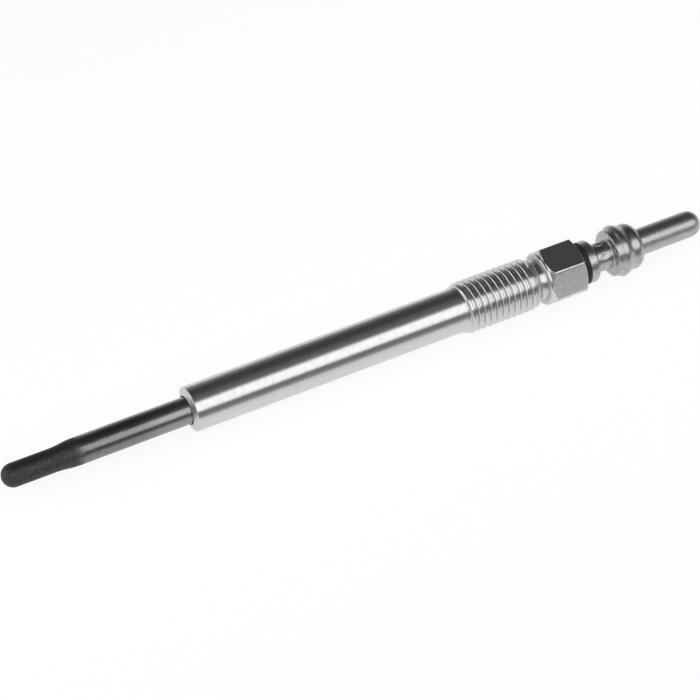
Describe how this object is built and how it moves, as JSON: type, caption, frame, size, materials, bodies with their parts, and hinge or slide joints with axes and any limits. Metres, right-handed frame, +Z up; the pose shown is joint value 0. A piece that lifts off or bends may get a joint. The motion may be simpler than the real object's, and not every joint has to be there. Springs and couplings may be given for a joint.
{
  "type": "diesel glow plug",
  "caption": "Slim metal-tube glow plug: swaged heater tip, plain shank, fine thread, hexagon and a ridged push-on terminal pin.",
  "frame": {"origin": "on the plug's axis, at the inner edge of the conical seat on the nose of the body", "axes": "+X along the plug's axis from the heater tip to the terminal pin, +Z up with one flat of the hexagon facing down"},
  "size_m": [0.1128, 0.0092, 0.008],
  "materials": {
    "plated_steel": "bright plated steel",
    "heat_dark_steel": "dark swaged heat-resistant steel",
    "coil_wire": "drawn resistance wire",
    "pressed_powder": "pressed white mineral powder",
    "seal_rubber": "matt black rubber",
    "bare_steel": "drawn steel",
    "black_plastic": "matt black moulded plastic",
    "satin_nickel": "satin nickel plated, turned"
  },
  "bodies": {
    "root": {"plug_body": "plated_steel", "glow_tube": "heat_dark_steel", "heating_coil": "coil_wire", "control_coil": "coil_wire", "filling_powder": "pressed_powder", "tube_seal": "seal_rubber", "connecting_rod": "bare_steel", "o_ring": "seal_rubber", "insulating_washer": "black_plastic", "terminal_nut": "satin_nickel"}
  },
  "joints": []
}
